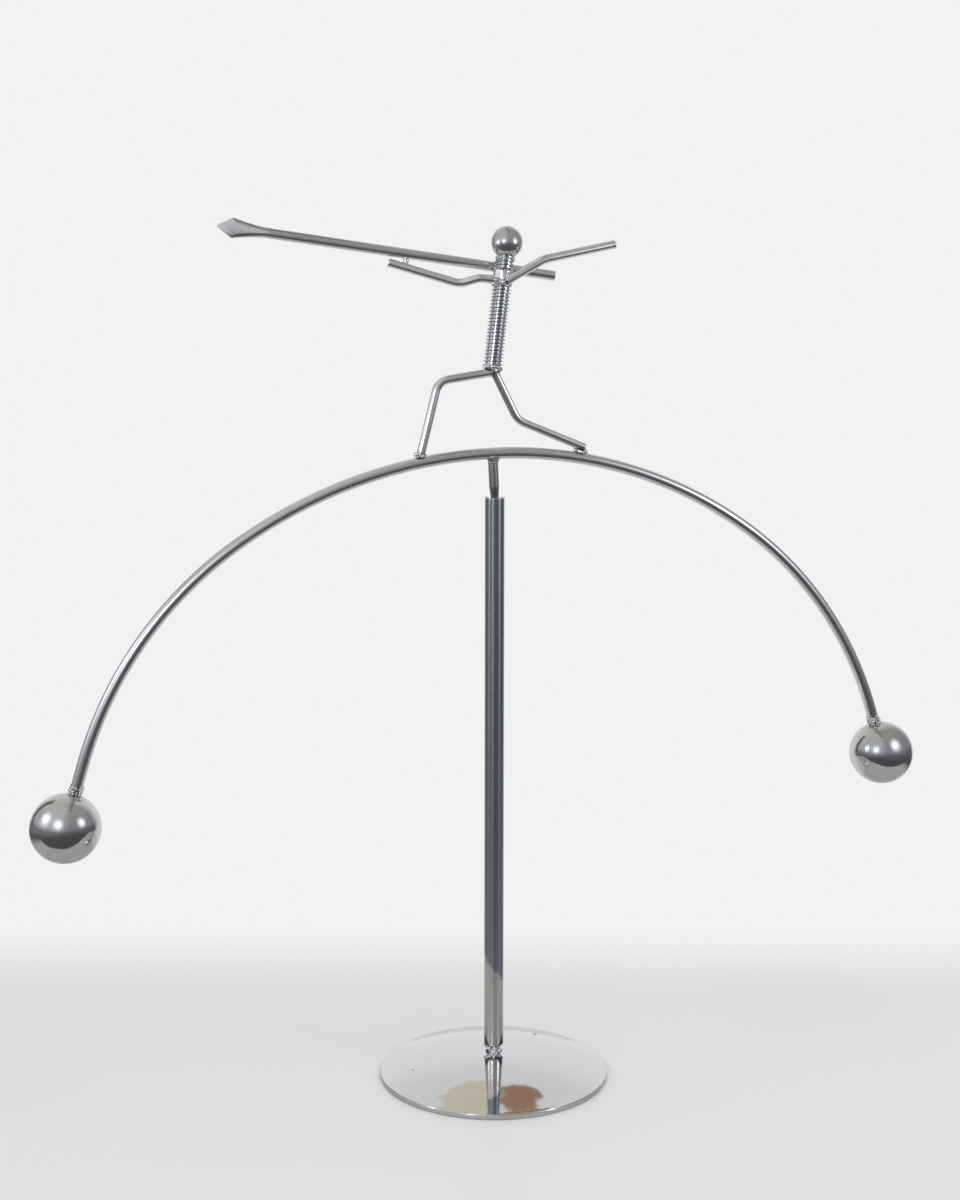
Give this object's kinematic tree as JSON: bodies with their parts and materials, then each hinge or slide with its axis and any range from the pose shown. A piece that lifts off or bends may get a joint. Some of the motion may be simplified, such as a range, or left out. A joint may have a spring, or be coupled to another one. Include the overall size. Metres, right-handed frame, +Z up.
{
  "type": "kinetic balance toy",
  "caption": "Steel spear thrower on a weighted arch that balances, rocks and turns on one pin in the cup of a tall post with a domed round base.",
  "frame": {"origin": "centre of the domed base's flat underside, on the surface the toy stands on", "axes": "+Z up along the post, the arch spans X with the spear pointing to -X, and the figure's front faces -Y"},
  "size_m": [0.3715, 0.094, 0.3462],
  "materials": {
    "base": "polished",
    "post": "polished",
    "pivot": "polished",
    "arch": "polished",
    "weights": "polished",
    "limbs": "polished",
    "stud": "satin",
    "head": "polished",
    "spear": "polished",
    "welds": "gloss"
  },
  "bodies": {
    "stand": {"base_dome": "base", "post": "post", "foot_weld": "welds"},
    "tip": {"pivot_tip": "pivot"},
    "pin": {"pivot_pin": "pivot"},
    "balance": {"pin_weld": "welds", "arch_rod": "arch", "left_ball": "weights", "right_ball": "weights", "left_ball_weld": "welds", "right_ball_weld": "welds", "front_leg": "limbs", "rear_leg": "limbs", "front_foot_weld": "welds", "rear_foot_weld": "welds", "hip_weld": "welds", "torso_stud": "stud", "neck_weld": "welds", "head_ball": "head", "front_arm": "limbs", "rear_arm": "limbs", "shoulder_weld": "welds", "spear": "spear", "back_weld": "welds", "hand_weld": "welds"}
  },
  "joints": [
    {"name": "rock", "type": "hinge", "parent": "stand", "child": "tip", "pos_m": [0, 0, 0.23802], "axis": [0, 1, 0], "range_deg": [-20, 20]},
    {"name": "nod", "type": "hinge", "parent": "tip", "child": "pin", "pos_m": [0, 0, 0.23802], "axis": [0.9987, 0, 0.0506], "range_deg": [-15, 15]},
    {"name": "spin", "type": "hinge", "parent": "pin", "child": "balance", "pos_m": [0, 0, 0.23802], "axis": [-0.0506, 0, 0.9987], "continuous": true}
  ]
}
